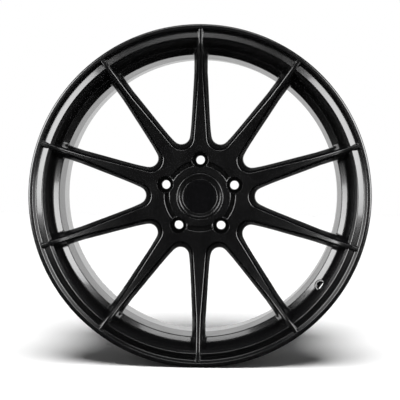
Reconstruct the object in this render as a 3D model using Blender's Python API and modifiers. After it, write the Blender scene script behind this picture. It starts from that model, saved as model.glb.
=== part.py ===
"""A ten-spoke, two-piece forged road and track wheel rim, 19 inch by 8.5 inch, with its centre cap.

The wheel turns about the Y axis and its outboard face looks along -Y. The origin is the middle of
the rim on that axis. Lengths are metres, and depth is measured back from the outboard lip plane.
"""

import math

import bmesh
import bpy
from mathutils import Matrix

# Rim, as tyre makers give it
BEAD_SEAT_RADIUS = 0.2437
FLANGE_HEIGHT = 0.0173
FLANGE_THICKNESS = 0.0125
RIM_WIDTH = 0.2159
BEAD_SEAT_WIDTH = 0.0200
BEAD_SEAT_TAPER = math.radians(5)
HUMP_HEIGHT = 0.0010
HUMP_DISTANCE = 0.0040
OUTER_RADIUS = BEAD_SEAT_RADIUS + FLANGE_HEIGHT
OVERALL_WIDTH = RIM_WIDTH + 2 * FLANGE_THICKNESS

# Rounded edge of each rim flange: distance in from the outer radius, and share of its thickness
FLANGE_CURL = ((0.0030, 0.0), (0.0010, 0.10), (0.0, 0.30), (0.0, 0.64), (0.0016, 0.91), (0.0044, 1.0))

# Fillet between flange and bead seat: distance out from the seat, and back from the flange
SEAT_FILLET = ((0.0064, 0.0), (0.0020, 0.0020), (0.0, 0.0064))

# Outboard lip: flange face, groove between the spokes, crest, inner wall
FLANGE_FACE_WIDTH = 0.0067
GROOVE_WALL_WIDTH = 0.0038
GROOVE_FLOOR_WIDTH = 0.0101
GROOVE_DEPTH = 0.0060
GROOVE_EDGE_DEPTH = 0.0004
GROOVE_CUT_MARGIN = 0.0015
CREST_DEPTH = 0.0030
CREST_WALL_WIDTH = 0.0079
CREST_WALL_DEPTH = 0.0380
CREST_SHOULDER_WIDTH = 0.0045
CREST_SHOULDER_HEIGHT = 0.0060
LIP_EDGE_CHAMFER = 0.0012
CREST_RADIUS = OUTER_RADIUS - FLANGE_FACE_WIDTH - GROOVE_WALL_WIDTH - GROOVE_FLOOR_WIDTH
SLOPE_RADIUS = CREST_RADIUS - CREST_WALL_WIDTH

# Joint between the face forging and the inner barrel
JOINT_DEPTH = 0.0465
JOINT_BORE_RADIUS = BEAD_SEAT_RADIUS - 0.0222
JOINT_LAND_WIDTH = 0.0146
JOINT_LAND_LENGTH = 0.0030
JOINT_LAND_RADIUS = JOINT_BORE_RADIUS + JOINT_LAND_WIDTH
CLEARANCE = 0.0003

# Inner barrel
WELL_WALL = 0.0053
WELL_LENGTH = 0.0485
BARREL_FLANGE_LENGTH = 0.0080
BARREL_FLANGE_RAMP = 0.0080
HUMP_RAMP = 0.0040
HUMP_FOOT = 0.0020
REAR_BORE_RADIUS = BEAD_SEAT_RADIUS - 0.0077
REAR_LIP_BORE_RADIUS = BEAD_SEAT_RADIUS - 0.0035
REAR_LIP_CHAMFER = 0.0040

# Hub
OFFSET = 0.0400
HUB_FACE_DEPTH = 0.0380
MOUNT_FACE_DEPTH = OVERALL_WIDTH / 2 - OFFSET
HUB_BORE_RADIUS = 0.03655

# Wheel bolt holes
LUG_COUNT = 5
LUG_CIRCLE_RADIUS = 0.05715
LUG_HOLE_RADIUS = 0.0070
LUG_COUNTERBORE_RADIUS = 0.0125
LUG_COUNTERBORE_DEPTH = 0.0110
LUG_BOSS_WALL = 0.0020
LUG_SEAT_ANGLE = math.radians(60)
LUG_FIRST_ANGLE = math.radians(90)

# Hub face groove and rear pockets, which run between the wheel bolt holes
HUB_PAD_RADIUS = LUG_CIRCLE_RADIUS + 0.02085
HUB_GROOVE_RADIUS = LUG_CIRCLE_RADIUS - 0.00545
HUB_GROOVE_WIDTH = 0.0070
HUB_GROOVE_DEPTH = 0.0060
REAR_POCKET_DEPTH = 0.0140
REAR_POCKET_MARGIN = 0.0080
REAR_BOSS_WALL = 0.0090

# Spokes, as half-widths of the flat front face at three radii
SPOKE_COUNT = 10
SPOKE_FIRST_ANGLE = math.radians(90)
WINDOW_INNER_RADIUS = LUG_CIRCLE_RADIUS + 0.01855
SPOKE_ROOT_AT = WINDOW_INNER_RADIUS + 0.0183
SPOKE_ROOT_HALF_WIDTH = 0.0095
SPOKE_WAIST_AT = BEAD_SEAT_RADIUS - 0.0597
SPOKE_WAIST_HALF_WIDTH = 0.0031
SPOKE_TIP_HALF_WIDTH = 0.0023
SPOKE_FACE_DEPTH_AT_LIP = 0.0010
HALF_PITCH = math.pi / SPOKE_COUNT

# Side view of the spokes: the face turns level near the lip, and the back steps up from the hub
LEVEL_AT = CREST_RADIUS + 0.0056
LEVEL_TURN = 0.0240
FACE_TURN_MARGIN = 0.0040
SPOKE_TIP_AT = CREST_RADIUS - 0.0254
SPOKE_BACK_DEPTH = 0.0550
BOLT_PAD_WIDTH = 0.0120
BOLT_PAD_RAMP = 0.0110
HUB_RAMP_WIDTH = 0.0340
HUB_RAMP_HEIGHT = 0.0080
HUB_EDGE_WIDTH = 0.0080
HUB_EDGE_HEIGHT = 0.0030

# Spoke sides: depth below the front face, how far the side has moved out, and how much further
# the hub end of the window has moved. Above the face, the levels only clear the cut. Below the
# crest of the lip, each side also flares out towards the rim.
SIDE_LEVELS = (
    (-0.0300, -0.00125, 0.0000),
    (-0.0020, -0.00125, 0.0000),
    (0.0045, 0.0028, 0.0003),
    (0.0100, 0.0040, 0.0008),
    (0.0290, 0.0080, 0.0025),
    (CREST_WALL_DEPTH - SPOKE_FACE_DEPTH_AT_LIP, 0.0084, 0.0030),
    (JOINT_DEPTH - SPOKE_FACE_DEPTH_AT_LIP, 0.0090, 0.0040),
    (0.0900, 0.0100, 0.0060),
)
SPOKE_FLARE = 0.0022
FLARE_DEPTH = 0.0200
FLARE_WIDTH = 0.0020
SPOKE_MIDDLE_AT = SPOKE_WAIST_AT - 0.0400

# Valve hole, at the top of the slope behind the lip, half way between two spokes
VALVE_ANGLE = math.radians(-36)
VALVE_HOLE_RADIUS = 0.00565
VALVE_HOLE_CHAMFER = 0.0010
VALVE_SEAT_RADIUS = 0.0082
VALVE_SEAT_DEPTH = 0.0010
VALVE_CUTTER_REACH = 0.0300
VALVE_TILT = math.radians(38)

# Assembly bolts, screwed from behind into the spoke roots
BOLT_RADIUS = 0.0040
BOLT_LENGTH = 0.0240
BOLT_CHAMFER = 0.0006
BOLT_HEAD_RADIUS = 1.625 * BOLT_RADIUS
BOLT_HEAD_HEIGHT = 2 * BOLT_RADIUS
BOLT_SOCKET_RADIUS = 0.85 * BOLT_RADIUS
BOLT_SOCKET_DEPTH = BOLT_RADIUS
THREAD_RUNOUT = 0.0010
WASHER_RADIUS = 2 * BOLT_RADIUS
WASHER_THICKNESS = 0.0016
WASHER_MARGIN = 0.0011
BOLT_CIRCLE_RADIUS = JOINT_BORE_RADIUS - WASHER_RADIUS - WASHER_MARGIN
TAB_RADIUS = WASHER_RADIUS + 0.0014
TAB_THICKNESS = 0.0080
TAB_ROOT = 0.0020

# Seal between the two halves
SEAL_WIRE_RADIUS = 0.0015

# Centre cap
CAP_SEAT_RADIUS = 0.0362
CAP_SEAT_DEPTH = 0.0040
CAP_EDGE_CHAMFER = 0.0008
CAP_BORE_RADIUS = CAP_SEAT_RADIUS - 0.0057
CAP_BORE_LENGTH = 0.0180
CAP_RING_WIDTH = 0.0040
CAP_RING_CHAMFER = 0.0006
CAP_DISC_RADIUS = CAP_SEAT_RADIUS - 0.0094
CAP_DISC_THICKNESS = 0.0012
CAP_DISC_CHAMFER = 0.0004
CAP_DISC_DEPTH = HUB_FACE_DEPTH + 0.0016
CAP_PLATE_THICKNESS = 0.0018
CAP_SKIRT_WALL = 0.0018
CAP_SKIRT_LENGTH = 0.0120
CAP_SKIRT_CHAMFER = 0.0006
CAP_SKIRT_LEAD = 0.0010
CAP_LEG_COUNT = 8
CAP_SLOT_WIDTH = 0.0050
CAP_LEG_ROOT = 0.0020
SPRING_WIRE_RADIUS = 0.0008
SPRING_INSET = 0.0030

# How far a cutter runs past the surface that it cuts
OVERSHOOT = 0.0100

TURN_STEPS = 50
HOLE_STEPS = 16
HARDWARE_STEPS = 12
CAP_STEPS = 32
WIRE_STEPS = 6
MERGE = 0.00001
SHARP_ANGLE = math.radians(30)


def clear_scene():
    for obj in list(bpy.data.objects):
        bpy.data.objects.remove(obj)


def new_collection(name):
    collection = bpy.data.collections.new(name)
    bpy.context.scene.collection.children.link(collection)
    return collection


clear_scene()
WHEEL = new_collection("wheel_rim")
CUTTERS = new_collection("cutters")
CUTTERS.hide_render = True

# Pieces are shaped lying flat, with the outboard face up, and this empty stands them up.
AXLE = bpy.data.objects.new("wheel_axis", None)
WHEEL.objects.link(AXLE)
AXLE.rotation_euler = (math.radians(90), 0, 0)


def height(depth):
    """The height, in the flat frame, of a point this far behind the outboard lip plane."""
    return OVERALL_WIDTH / 2 - depth


def material(name, colour, roughness, metallic):
    made = bpy.data.materials.new(name)
    made.use_nodes = True
    shader = made.node_tree.nodes["Principled BSDF"]
    shader.inputs["Base Color"].default_value = (*colour, 1)
    shader.inputs["Roughness"].default_value = roughness
    shader.inputs["Metallic"].default_value = metallic
    return made


def satin_black_paint():
    return material("satin_black_paint", (0.010, 0.010, 0.011), 0.35, 0.0)


def gloss_black_plastic():
    return material("gloss_black_plastic", (0.006, 0.006, 0.007), 0.12, 0.0)


def black_plastic():
    return material("black_plastic", (0.015, 0.015, 0.016), 0.45, 0.0)


def zinc_plated_steel():
    return material("zinc_plated_steel", (0.55, 0.56, 0.58), 0.30, 1.0)


def spring_steel():
    return material("spring_steel", (0.42, 0.42, 0.43), 0.28, 1.0)


def seal_rubber():
    return material("seal_rubber", (0.012, 0.012, 0.012), 0.75, 0.0)


def smooth(mesh):
    mesh.shade_smooth()
    mesh.set_sharp_from_angle(angle=SHARP_ANGLE)


def baked(obj):
    """A plain mesh object with the shape that obj's modifiers give. It takes obj's place."""
    bpy.context.view_layer.update()
    graph = bpy.context.evaluated_depsgraph_get()
    mesh = bpy.data.meshes.new_from_object(obj.evaluated_get(graph))
    loose = bmesh.new()
    loose.from_mesh(mesh)
    bmesh.ops.remove_doubles(loose, verts=loose.verts, dist=MERGE)
    loose.to_mesh(mesh)
    loose.free()
    name = obj.name
    matrix = obj.matrix_world.copy()
    holder = obj.users_collection[0]
    bpy.data.objects.remove(obj)
    solid = bpy.data.objects.new(name, mesh)
    solid.matrix_world = matrix
    holder.objects.link(solid)
    smooth(mesh)
    return solid


def turned(name, profile, steps=TURN_STEPS):
    """A solid turned about the axle from (radius, depth) points, clockwise when drawn depth down.

    A profile that starts and ends at radius 0 is left open there, and any other is closed.
    """
    mesh = bpy.data.meshes.new(name)
    points = [(radius, 0, height(depth)) for radius, depth in profile]
    edges = [(i, i + 1) for i in range(len(points) - 1)]
    if profile[0][0] > 0:
        edges.append((len(points) - 1, 0))
    mesh.from_pydata(points, edges, [])
    obj = bpy.data.objects.new(name, mesh)
    WHEEL.objects.link(obj)
    screw = obj.modifiers.new("turn", "SCREW")
    screw.axis = "Z"
    screw.angle = math.tau
    screw.steps = steps
    screw.render_steps = steps
    screw.use_merge_vertices = True
    screw.merge_threshold = MERGE
    return baked(obj)


def prism(name, outline, low, high):
    """A flat outline of (x, y) points made into a solid between two heights."""
    curve = bpy.data.curves.new(name, "CURVE")
    curve.dimensions = "2D"
    curve.fill_mode = "BOTH"
    curve.extrude = (high - low) / 2
    spline = curve.splines.new("POLY")
    spline.points.add(len(outline) - 1)
    for point, (x, y) in zip(spline.points, outline):
        point.co = (x, y, 0, 1)
    spline.use_cyclic_u = True
    obj = bpy.data.objects.new(name, curve)
    WHEEL.objects.link(obj)
    obj.location.z = (high + low) / 2
    return baked(obj)


def loft(name, rings):
    """A closed solid through rings of points, each the same number, from the top ring down."""
    mesh = bpy.data.meshes.new(name)
    shape = bmesh.new()
    rows = [[shape.verts.new(point) for point in ring] for ring in rings]
    for upper, lower in zip(rows, rows[1:]):
        for i in range(len(upper)):
            j = (i + 1) % len(upper)
            shape.faces.new((upper[i], lower[i], lower[j], upper[j]))
    shape.faces.new(rows[0])
    shape.faces.new(reversed(rows[-1]))
    bmesh.ops.triangulate(shape, faces=shape.faces[:])
    bmesh.ops.recalc_face_normals(shape, faces=shape.faces)
    shape.to_mesh(mesh)
    shape.free()
    obj = bpy.data.objects.new(name, mesh)
    WHEEL.objects.link(obj)
    return obj


def as_cutter(obj):
    WHEEL.objects.unlink(obj)
    CUTTERS.objects.link(obj)
    obj.hide_render = True
    obj.display_type = "WIRE"
    obj.parent = AXLE
    return obj


def turned_copies(obj, angles):
    """Cutters like obj, each turned about the axle. obj itself becomes the first."""
    copies = [obj]
    for _ in angles[1:]:
        copy = obj.copy()
        WHEEL.objects.link(copy)
        copies.append(copy)
    base = obj.matrix_world.copy()
    for copy, angle in zip(copies, angles):
        copy.matrix_world = Matrix.Rotation(angle, 4, "Z") @ base
        as_cutter(copy)
    return copies


def combine(obj, others, operation="DIFFERENCE"):
    for other in others:
        step = obj.modifiers.new(f"{operation.lower()}_{other.name}", "BOOLEAN")
        step.operation = operation
        step.solver = "EXACT"
        step.object = other


def finish(obj, finish_material):
    obj.parent = AXLE
    obj.data.materials.clear()
    obj.data.materials.append(finish_material)


def even_angles(count, first):
    return [first + math.tau * i / count for i in range(count)]


def polar(radius, angle):
    return radius * math.cos(angle), radius * math.sin(angle)


def arc(radius, start, end, steps, centre=(0, 0)):
    """Points from start to end along a circle, both ends included."""
    points = []
    for i in range(steps + 1):
        x, y = polar(radius, start + (end - start) * i / steps)
        points.append((centre[0] + x, centre[1] + y))
    return points


# Face forging: hub, spokes, outboard lip and bead seat in one piece


def face_depth(radius):
    """Depth of the spokes' concave front face: flat at the hub, and turning level at the lip."""
    inner = WINDOW_INNER_RADIUS
    turn = LEVEL_AT - LEVEL_TURN
    drop = HUB_FACE_DEPTH - SPOKE_FACE_DEPTH_AT_LIP
    bend = drop / ((turn - inner) * (LEVEL_AT - inner))
    if radius <= inner:
        return HUB_FACE_DEPTH
    if radius <= turn:
        return HUB_FACE_DEPTH - bend * (radius - inner) ** 2
    if radius <= LEVEL_AT:
        ease = bend * (turn - inner) / LEVEL_TURN
        return SPOKE_FACE_DEPTH_AT_LIP + ease * (LEVEL_AT - radius) ** 2
    return SPOKE_FACE_DEPTH_AT_LIP


def flange_and_seat():
    """A rim flange, its bead seat and hump: points of (radius, distance in from the rim's face)."""
    seat_end = FLANGE_THICKNESS + BEAD_SEAT_WIDTH
    seat_end_radius = BEAD_SEAT_RADIUS - BEAD_SEAT_WIDTH * math.tan(BEAD_SEAT_TAPER)
    points = [(OUTER_RADIUS - inward, share * FLANGE_THICKNESS) for inward, share in FLANGE_CURL]
    points += [(BEAD_SEAT_RADIUS + out, FLANGE_THICKNESS + back) for out, back in SEAT_FILLET]
    points.append((seat_end_radius, seat_end))
    points.append((seat_end_radius + HUMP_HEIGHT, seat_end + HUMP_DISTANCE))
    return points


def face_profile():
    turn = LEVEL_AT - LEVEL_TURN
    spans = 5
    rise = turn - WINDOW_INNER_RADIUS
    radii = [WINDOW_INNER_RADIUS - FACE_TURN_MARGIN]
    radii += [WINDOW_INNER_RADIUS + rise * i / spans for i in range(1, spans + 1)]
    radii += [turn + LEVEL_TURN / 2, LEVEL_AT]
    lip = OUTER_RADIUS - FLANGE_FACE_WIDTH
    front = [(CAP_SEAT_RADIUS + CAP_EDGE_CHAMFER, HUB_FACE_DEPTH)]
    front += [(radius, face_depth(radius)) for radius in radii]
    front += [
        (lip, SPOKE_FACE_DEPTH_AT_LIP),
        (lip, SPOKE_FACE_DEPTH_AT_LIP / 2),
        (lip + LIP_EDGE_CHAMFER, 0),
    ]
    seat = flange_and_seat()
    hump_radius, hump_depth = seat[-1]
    joint = [
        (hump_radius - HUMP_FOOT, hump_depth + HUMP_RAMP),
        (JOINT_LAND_RADIUS, JOINT_DEPTH - JOINT_LAND_LENGTH),
        (JOINT_LAND_RADIUS, JOINT_DEPTH),
    ]
    bolt_pad = BOLT_CIRCLE_RADIUS - BOLT_PAD_WIDTH
    back = [
        (bolt_pad, JOINT_DEPTH),
        (bolt_pad - BOLT_PAD_RAMP, SPOKE_BACK_DEPTH),
        (HUB_PAD_RADIUS + HUB_RAMP_WIDTH, SPOKE_BACK_DEPTH + HUB_RAMP_HEIGHT),
        (HUB_PAD_RADIUS + HUB_EDGE_WIDTH, MOUNT_FACE_DEPTH - HUB_EDGE_HEIGHT),
        (HUB_PAD_RADIUS, MOUNT_FACE_DEPTH),
    ]
    bore = [
        (HUB_BORE_RADIUS, MOUNT_FACE_DEPTH),
        (HUB_BORE_RADIUS, HUB_FACE_DEPTH + CAP_BORE_LENGTH),
        (CAP_BORE_RADIUS, HUB_FACE_DEPTH + CAP_BORE_LENGTH),
        (CAP_BORE_RADIUS, HUB_FACE_DEPTH + CAP_SEAT_DEPTH),
        (CAP_SEAT_RADIUS, HUB_FACE_DEPTH + CAP_SEAT_DEPTH),
        (CAP_SEAT_RADIUS, HUB_FACE_DEPTH + CAP_EDGE_CHAMFER),
    ]
    return front + seat + joint + back + bore


def spoke_taper():
    """How fast a spoke's face narrows from root to waist: half-width lost per length."""
    return (SPOKE_ROOT_HALF_WIDTH - SPOKE_WAIST_HALF_WIDTH) / (SPOKE_WAIST_AT - SPOKE_ROOT_AT)


def spoke_side(radius, moved):
    """A point of a spoke's side, in a frame whose X axis runs along the middle of the window."""
    if radius < SPOKE_WAIST_AT:
        half_width = SPOKE_WAIST_HALF_WIDTH + spoke_taper() * (SPOKE_WAIST_AT - radius)
    else:
        share = min(1, (radius - SPOKE_WAIST_AT) / (SPOKE_TIP_AT - SPOKE_WAIST_AT))
        narrowed = share * (SPOKE_WAIST_HALF_WIDTH - SPOKE_TIP_HALF_WIDTH)
        half_width = SPOKE_WAIST_HALF_WIDTH - narrowed
    side = half_width + moved
    along = math.sqrt(radius**2 - side**2)
    cosine = math.cos(HALF_PITCH)
    sine = math.sin(HALF_PITCH)
    return along * cosine + side * sine, along * sine - side * cosine


def hub_end(moved, further, steps):
    """The window's rounded hub end, from the middle of the window to where it meets the side."""
    lean = math.atan(spoke_taper())
    at_axis = SPOKE_ROOT_HALF_WIDTH + spoke_taper() * SPOKE_ROOT_AT
    from_axis = at_axis * math.cos(lean)
    opening = HALF_PITCH + lean
    centre = (WINDOW_INNER_RADIUS + further - from_axis) / (1 - math.sin(opening))
    radius = centre * math.sin(opening) - from_axis - moved
    return arc(radius, math.pi, math.pi / 2 + opening, steps, (centre, 0))


def end_radius(depth):
    """Radius of the lip's inner wall, behind the crest, at this depth."""
    wall = (
        (CREST_DEPTH, CREST_RADIUS),
        (CREST_DEPTH + CREST_SHOULDER_HEIGHT, CREST_RADIUS - CREST_SHOULDER_WIDTH),
        (CREST_WALL_DEPTH, SLOPE_RADIUS),
        (JOINT_DEPTH, JOINT_BORE_RADIUS),
    )
    if depth <= CREST_DEPTH:
        return CREST_RADIUS
    for (start, at_start), (end, at_end) in zip(wall, wall[1:]):
        if depth <= end:
            return at_start + (at_end - at_start) * (depth - start) / (end - start)
    return JOINT_BORE_RADIUS


def window_ring(depth_below, moved, further):
    """One level of a window cutter, as points that follow the concave face."""
    half = hub_end(moved, further, 4)
    half_at_face = hub_end(0, 0, 4)
    depths = [face_depth(math.hypot(*point)) + depth_below for point in half_at_face]
    for radius in (SPOKE_MIDDLE_AT, SPOKE_WAIST_AT, JOINT_BORE_RADIUS - FLARE_WIDTH):
        half.append(spoke_side(radius, moved))
        depths.append(face_depth(radius) + depth_below)
    lip_depth = SPOKE_FACE_DEPTH_AT_LIP + depth_below
    end = end_radius(lip_depth)
    flare = SPOKE_FLARE if depth_below > FLARE_DEPTH else 0
    for radius in (JOINT_BORE_RADIUS - FLARE_WIDTH / 4, end):
        half.append(spoke_side(radius, moved + flare))
        depths.append(lip_depth)
    tip_angle = math.atan2(half[-1][1], half[-1][0])
    outer = arc(end, tip_angle, -tip_angle, 5)[1:-1]
    points = [(x, y, height(depth)) for (x, y), depth in zip(half, depths)]
    points += [(x, y, height(lip_depth)) for x, y in outer]
    mirrored = [(x, -y, height(depth)) for (x, y), depth in zip(half[1:], depths[1:])]
    return points + mirrored[::-1]


def window_cutter():
    return loft("window_cutter", [window_ring(*level) for level in SIDE_LEVELS])


def lip_groove_cutter():
    """Cuts the groove in the lip between two spokes. Its ends lean as the spokes' sides do."""
    inner = CREST_RADIUS - CREST_SHOULDER_WIDTH - GROOVE_CUT_MARGIN
    groove = CREST_RADIUS + GROOVE_FLOOR_WIDTH
    rim = groove + GROOVE_WALL_WIDTH
    section = (
        (inner, -OVERSHOOT),
        (rim, -OVERSHOOT),
        (rim, GROOVE_EDGE_DEPTH),
        (groove, GROOVE_DEPTH),
        (CREST_RADIUS, CREST_DEPTH),
        (inner, CREST_DEPTH),
    )
    first_below = SIDE_LEVELS[2]
    lean = first_below[1] / first_below[0]
    stations = 5
    rings = []
    for i in range(stations + 1):
        share = 1 - 2 * i / stations
        ring = []
        for radius, depth in section:
            moved = lean * max(0, depth - SPOKE_FACE_DEPTH_AT_LIP)
            limit = HALF_PITCH - math.asin((SPOKE_TIP_HALF_WIDTH + moved) / radius)
            x, y = polar(radius, limit * share)
            ring.append((x, y, height(depth)))
        rings.append(ring)
    return loft("lip_groove_cutter", rings)


def off_radius(obj, radius):
    """obj moved out to this radius, and turned so that none of its corners lies on the radius."""
    obj.location.x = radius
    obj.rotation_euler.z = math.pi / HOLE_STEPS
    bpy.context.view_layer.update()
    return obj


def lug_cutter():
    seat_depth = HUB_FACE_DEPTH + LUG_COUNTERBORE_DEPTH
    cone_height = (LUG_COUNTERBORE_RADIUS - LUG_HOLE_RADIUS) * math.tan(LUG_SEAT_ANGLE)
    profile = [
        (0, HUB_FACE_DEPTH - OVERSHOOT),
        (LUG_COUNTERBORE_RADIUS, HUB_FACE_DEPTH - OVERSHOOT),
        (LUG_COUNTERBORE_RADIUS, seat_depth),
        (LUG_HOLE_RADIUS, seat_depth + cone_height),
        (LUG_HOLE_RADIUS, MOUNT_FACE_DEPTH + OVERSHOOT),
        (0, MOUNT_FACE_DEPTH + OVERSHOOT),
    ]
    return off_radius(turned("lug_cutter", profile, HOLE_STEPS), LUG_CIRCLE_RADIUS)


def ring_sector(inner, outer, half_angle, steps):
    outline = arc(inner, -half_angle, half_angle, steps)
    return outline + arc(outer, half_angle, -half_angle, steps)


def hub_groove_cutter():
    """The shallow groove round the hub face stops short of each wheel bolt's boss."""
    boss = LUG_COUNTERBORE_RADIUS + LUG_BOSS_WALL
    half_angle = math.pi / LUG_COUNT - 2 * math.asin(boss / (2 * HUB_GROOVE_RADIUS))
    inner = HUB_GROOVE_RADIUS - HUB_GROOVE_WIDTH / 2
    outline = ring_sector(inner, inner + HUB_GROOVE_WIDTH, half_angle, 5)
    floor = height(HUB_FACE_DEPTH + HUB_GROOVE_DEPTH)
    return prism("hub_groove_cutter", outline, floor, height(HUB_FACE_DEPTH - OVERSHOOT))


def rear_pocket_cutter():
    """Lightening pockets in the mounting face, between the wheel bolt holes."""
    inner = HUB_BORE_RADIUS + REAR_POCKET_MARGIN
    outer = HUB_PAD_RADIUS - REAR_POCKET_MARGIN
    boss = LUG_HOLE_RADIUS + REAR_BOSS_WALL
    half_angle = math.pi / LUG_COUNT - 2 * math.asin(boss / (2 * LUG_CIRCLE_RADIUS))
    outline = ring_sector(inner, outer, half_angle, 4)
    floor = height(MOUNT_FACE_DEPTH - REAR_POCKET_DEPTH)
    return prism("rear_pocket_cutter", outline, height(MOUNT_FACE_DEPTH + OVERSHOOT), floor)


def bolt_seat_depth():
    """Depth of the underside of the bolt heads: behind the joint, the tab and the washer."""
    return JOINT_DEPTH + TAB_THICKNESS + WASHER_THICKNESS + 3 * CLEARANCE


def bolt_hole_cutter(name, top_depth, bottom_depth):
    profile = [
        (0, top_depth),
        (BOLT_RADIUS + CLEARANCE, top_depth),
        (BOLT_RADIUS + CLEARANCE, bottom_depth),
        (0, bottom_depth),
    ]
    return off_radius(turned(name, profile, HOLE_STEPS), BOLT_CIRCLE_RADIUS)


def valve_cutter():
    """The valve hole leans back from the slope towards the tyre side, with a flat seat in front."""
    profile = [
        (0, -VALVE_CUTTER_REACH),
        (VALVE_SEAT_RADIUS, -VALVE_CUTTER_REACH),
        (VALVE_SEAT_RADIUS, VALVE_SEAT_DEPTH),
        (VALVE_HOLE_RADIUS + VALVE_HOLE_CHAMFER, VALVE_SEAT_DEPTH),
        (VALVE_HOLE_RADIUS, VALVE_SEAT_DEPTH + VALVE_HOLE_CHAMFER),
        (VALVE_HOLE_RADIUS, VALVE_CUTTER_REACH),
        (0, VALVE_CUTTER_REACH),
    ]
    cutter = turned("valve_cutter", profile, HOLE_STEPS)
    to_middle = Matrix.Translation((0, 0, -height(0)))
    place = Matrix.Translation((SLOPE_RADIUS, 0, height(CREST_WALL_DEPTH)))
    lean = Matrix.Rotation(-VALVE_TILT, 4, "Y")
    turn = Matrix.Rotation(VALVE_ANGLE, 4, "Z")
    cutter.matrix_world = turn @ place @ lean @ to_middle
    return as_cutter(cutter)


def face_forging(paint):
    obj = turned("face_forging", face_profile())
    windows = even_angles(SPOKE_COUNT, SPOKE_FIRST_ANGLE + HALF_PITCH)
    spokes = even_angles(SPOKE_COUNT, SPOKE_FIRST_ANGLE)
    lugs = even_angles(LUG_COUNT, LUG_FIRST_ANGLE)
    between_lugs = even_angles(LUG_COUNT, LUG_FIRST_ANGLE + math.pi / LUG_COUNT)
    thread_top = bolt_seat_depth() - BOLT_LENGTH - THREAD_RUNOUT
    thread = bolt_hole_cutter("thread_cutter", thread_top, JOINT_DEPTH + OVERSHOOT)
    combine(obj, turned_copies(window_cutter(), windows))
    combine(obj, turned_copies(lip_groove_cutter(), windows))
    combine(obj, turned_copies(hub_groove_cutter(), between_lugs))
    combine(obj, turned_copies(rear_pocket_cutter(), between_lugs))
    combine(obj, turned_copies(lug_cutter(), lugs))
    combine(obj, turned_copies(thread, spokes))
    combine(obj, [valve_cutter()])
    finish(obj, paint)


# Inner barrel, with the tabs that the assembly bolts pass through


def seal_circle():
    """Radius of the seal, midway across the joint's land."""
    return (JOINT_BORE_RADIUS + JOINT_LAND_RADIUS) / 2 + 0.0006


def barrel_profile():
    top = JOINT_DEPTH + CLEARANCE
    land_end = top + BARREL_FLANGE_LENGTH
    well = JOINT_BORE_RADIUS + WELL_WALL
    well_end = JOINT_DEPTH + WELL_LENGTH
    seat_start = OVERALL_WIDTH - FLANGE_THICKNESS - BEAD_SEAT_WIDTH
    flange = [(radius, OVERALL_WIDTH - distance) for radius, distance in flange_and_seat()]
    hump_radius, hump_depth = flange[-1]
    groove_half = SEAL_WIRE_RADIUS + CLEARANCE
    groove_bottom = top + 2 * SEAL_WIRE_RADIUS
    seal = seal_circle()
    front = [
        (JOINT_BORE_RADIUS, top),
        (seal - groove_half, top),
        (seal - groove_half, groove_bottom),
        (seal + groove_half, groove_bottom),
        (seal + groove_half, top),
        (JOINT_LAND_RADIUS, top),
        (JOINT_LAND_RADIUS, land_end),
        (well, land_end + BARREL_FLANGE_RAMP),
        (well, well_end),
        (hump_radius - HUMP_FOOT, hump_depth - HUMP_RAMP),
    ]
    bore = [
        (REAR_LIP_BORE_RADIUS + REAR_LIP_CHAMFER, OVERALL_WIDTH),
        (REAR_LIP_BORE_RADIUS, OVERALL_WIDTH - REAR_LIP_CHAMFER),
        (REAR_BORE_RADIUS, seat_start),
        (JOINT_BORE_RADIUS, well_end),
    ]
    return front + flange[::-1] + bore


def tab(angle, number):
    """A tab on the barrel's front edge, round at its free end, with its root inside the barrel."""
    outline = arc(TAB_RADIUS, math.radians(90), math.radians(270), 8, (BOLT_CIRCLE_RADIUS, 0))
    root = JOINT_BORE_RADIUS + TAB_ROOT
    outline += [(root, -TAB_RADIUS), (root, TAB_RADIUS)]
    top = height(JOINT_DEPTH + CLEARANCE)
    obj = prism(f"barrel_tab_{number:02d}", outline, top - TAB_THICKNESS, top)
    return turned_copies(obj, [angle])[0]


def inner_barrel(paint):
    obj = turned("inner_barrel", barrel_profile())
    spokes = even_angles(SPOKE_COUNT, SPOKE_FIRST_ANGLE)
    tabs = [tab(angle, i + 1) for i, angle in enumerate(spokes)]
    tab_back = JOINT_DEPTH + TAB_THICKNESS
    hole = bolt_hole_cutter("tab_hole_cutter", JOINT_DEPTH - OVERSHOOT, tab_back + OVERSHOOT)
    combine(obj, tabs, "UNION")
    combine(obj, turned_copies(hole, spokes))
    finish(obj, paint)


def wire_section(wire_radius, radius, depth):
    return arc(wire_radius, -math.pi, math.pi, WIRE_STEPS, (radius, depth))[:-1]


def joint_seal_ring(rubber):
    """A rubber ring in the barrel's groove, against the forging's rear face."""
    middle = JOINT_DEPTH + CLEARANCE + SEAL_WIRE_RADIUS
    section = wire_section(SEAL_WIRE_RADIUS, seal_circle(), middle)
    finish(turned("joint_seal_ring", section), rubber)


# Assembly hardware


def copies_round(obj, name, finish_material):
    """obj, made at angle zero, copied once behind each spoke."""
    base = obj.matrix_world.copy()
    mesh = obj.data
    bpy.data.objects.remove(obj)
    for i, angle in enumerate(even_angles(SPOKE_COUNT, SPOKE_FIRST_ANGLE)):
        copy = bpy.data.objects.new(f"{name}_{i + 1:02d}", mesh)
        WHEEL.objects.link(copy)
        copy.matrix_world = Matrix.Rotation(angle, 4, "Z") @ base
        finish(copy, finish_material)


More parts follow.
